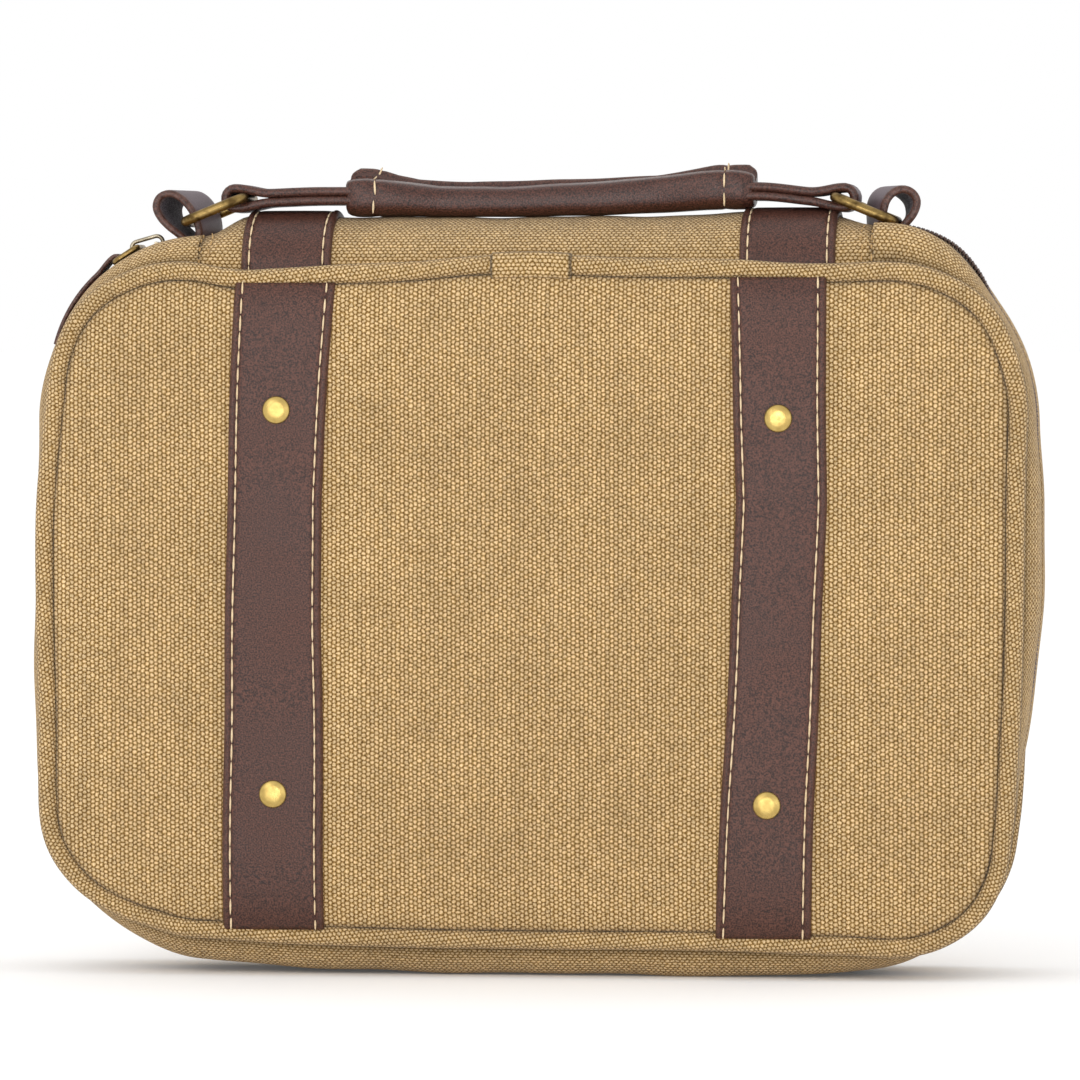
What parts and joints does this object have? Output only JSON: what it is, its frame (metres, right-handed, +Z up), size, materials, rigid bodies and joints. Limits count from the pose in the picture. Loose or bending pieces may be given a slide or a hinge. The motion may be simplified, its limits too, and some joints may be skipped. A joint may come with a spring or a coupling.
{
  "type": "doctor bag",
  "caption": "Zip-around clamshell canvas case with leather straps, piping, and a leather grip on wire rings; both halves fold open about the spine.",
  "frame": {"origin": "centre of the footprint on the ground, under the middle of the spine", "axes": "+X along the grip to the right, +Y from the front face to the back face, +Z up"},
  "size_m": [0.28, 0.0638, 0.2216],
  "materials": {
    "canvas": "washed plain-weave cotton canvas",
    "canvas_bias": "the same canvas cut on the bias",
    "lining": "plain cotton lining",
    "cord": "twisted cotton cord",
    "leather": "oiled dark brown leather, soft sheen",
    "brass": "antique brass",
    "zip_metal": "gunmetal-bronze plated",
    "zip_tape": "woven polyester tape",
    "zip_coil": "dark brown nylon",
    "board": "stiffener board"
  },
  "bodies": {
    "back_cover": {"back_panel": "canvas", "back_board": "board", "back_lining": "lining", "back_piping": "canvas_bias", "back_piping_cord": "cord", "back_gusset": "canvas", "back_gusset_lining": "lining", "back_binding": "lining", "back_strap_left": "leather", "back_strap_right": "leather", "back_rivets": "brass", "back_zip_tape": "zip_tape", "back_zip_coil": "zip_coil", "back_zip_stops": "brass", "back_pocket": "lining"},
    "spine": {"spine_panel": "canvas", "spine_board": "board", "spine_lining": "lining", "spine_strap_left": "leather", "spine_strap_right": "leather"},
    "front_cover": {"front_panel": "canvas", "front_board": "board", "front_lining": "lining", "front_piping": "canvas_bias", "front_piping_cord": "cord", "front_gusset": "canvas", "front_gusset_lining": "lining", "front_binding": "lining", "front_strap_left": "leather", "front_strap_right": "leather", "front_rivets": "brass", "front_zip_tape": "zip_tape", "front_zip_coil": "zip_coil", "front_zip_stops": "brass", "piping_keeper": "canvas_bias"},
    "handle_anchor": {"loop_left": "leather", "loop_right": "leather"},
    "handle": {"grip_wrap": "leather", "grip_core": "cord", "handle_tab_left": "leather", "handle_tab_right": "leather"},
    "ring_left": {"ring_left": "brass"},
    "ring_right": {"ring_right": "brass"},
    "zip_slider": {"zip_slider": "zip_metal"},
    "pull_bail": {"pull_bail": "zip_metal"},
    "pull_ring": {"pull_ring": "brass"},
    "pull_tab": {"pull_tab": "leather"}
  },
  "joints": [
    {"name": "spine_fold", "type": "hinge", "parent": "back_cover", "child": "spine", "pos_m": [0, 0.024, 0.19], "axis": [-1, 0, 0], "range_deg": [0, 90]},
    {"name": "front_fold", "type": "hinge", "parent": "spine", "child": "front_cover", "pos_m": [0, -0.024, 0.19], "axis": [-1, 0, 0], "range_deg": [0, 90]},
    {"name": "handle_swing", "type": "hinge", "parent": "spine", "child": "handle_anchor", "pos_m": [0, 0, 0.1985], "axis": [1, 0, 0], "range_deg": [-6, 6]},
    {"name": "handle_lift", "type": "slide", "parent": "handle_anchor", "child": "handle", "axis": [0, 0, 1], "range_m": [0, 0.004]},
    {"name": "ring_left_tilt", "type": "hinge", "parent": "handle_anchor", "child": "ring_left", "pos_m": [-0.0975, 0, 0.2066], "axis": [0, -1, 0], "range_deg": [0, 15.4]},
    {"name": "ring_right_tilt", "type": "hinge", "parent": "handle_anchor", "child": "ring_right", "pos_m": [0.0975, 0, 0.2066], "axis": [0, 1, 0], "range_deg": [0, 15.4]},
    {"name": "zip_travel", "type": "hinge", "parent": "back_cover", "child": "zip_slider", "pos_m": [-0.093, 0, 0.152], "axis": [0, -1, 0], "range_deg": [0, 60]},
    {"name": "bail_lift", "type": "hinge", "parent": "zip_slider", "child": "pull_bail", "pos_m": [-0.10698, 0, 0.20074], "axis": [0, 1, 0], "range_deg": [0, 45]},
    {"name": "pull_ring_lift", "type": "hinge", "parent": "pull_bail", "child": "pull_ring", "pos_m": [-0.11235, 0, 0.19953], "axis": [0, 1, 0], "range_deg": [0, 45]},
    {"name": "pull_tab_swing", "type": "hinge", "parent": "pull_ring", "child": "pull_tab", "pos_m": [-0.11847, 0, 0.19556], "axis": [0, 1, 0], "range_deg": [0, 36.1]}
  ],
  "couplings": [
    {"joint": "ring_left_tilt", "follows": "handle_lift", "rad_per_m": 67.1},
    {"joint": "ring_right_tilt", "follows": "handle_lift", "rad_per_m": 67.1},
    {"joint": "pull_tab_swing", "follows": "zip_travel", "ratio": 0.6}
  ]
}
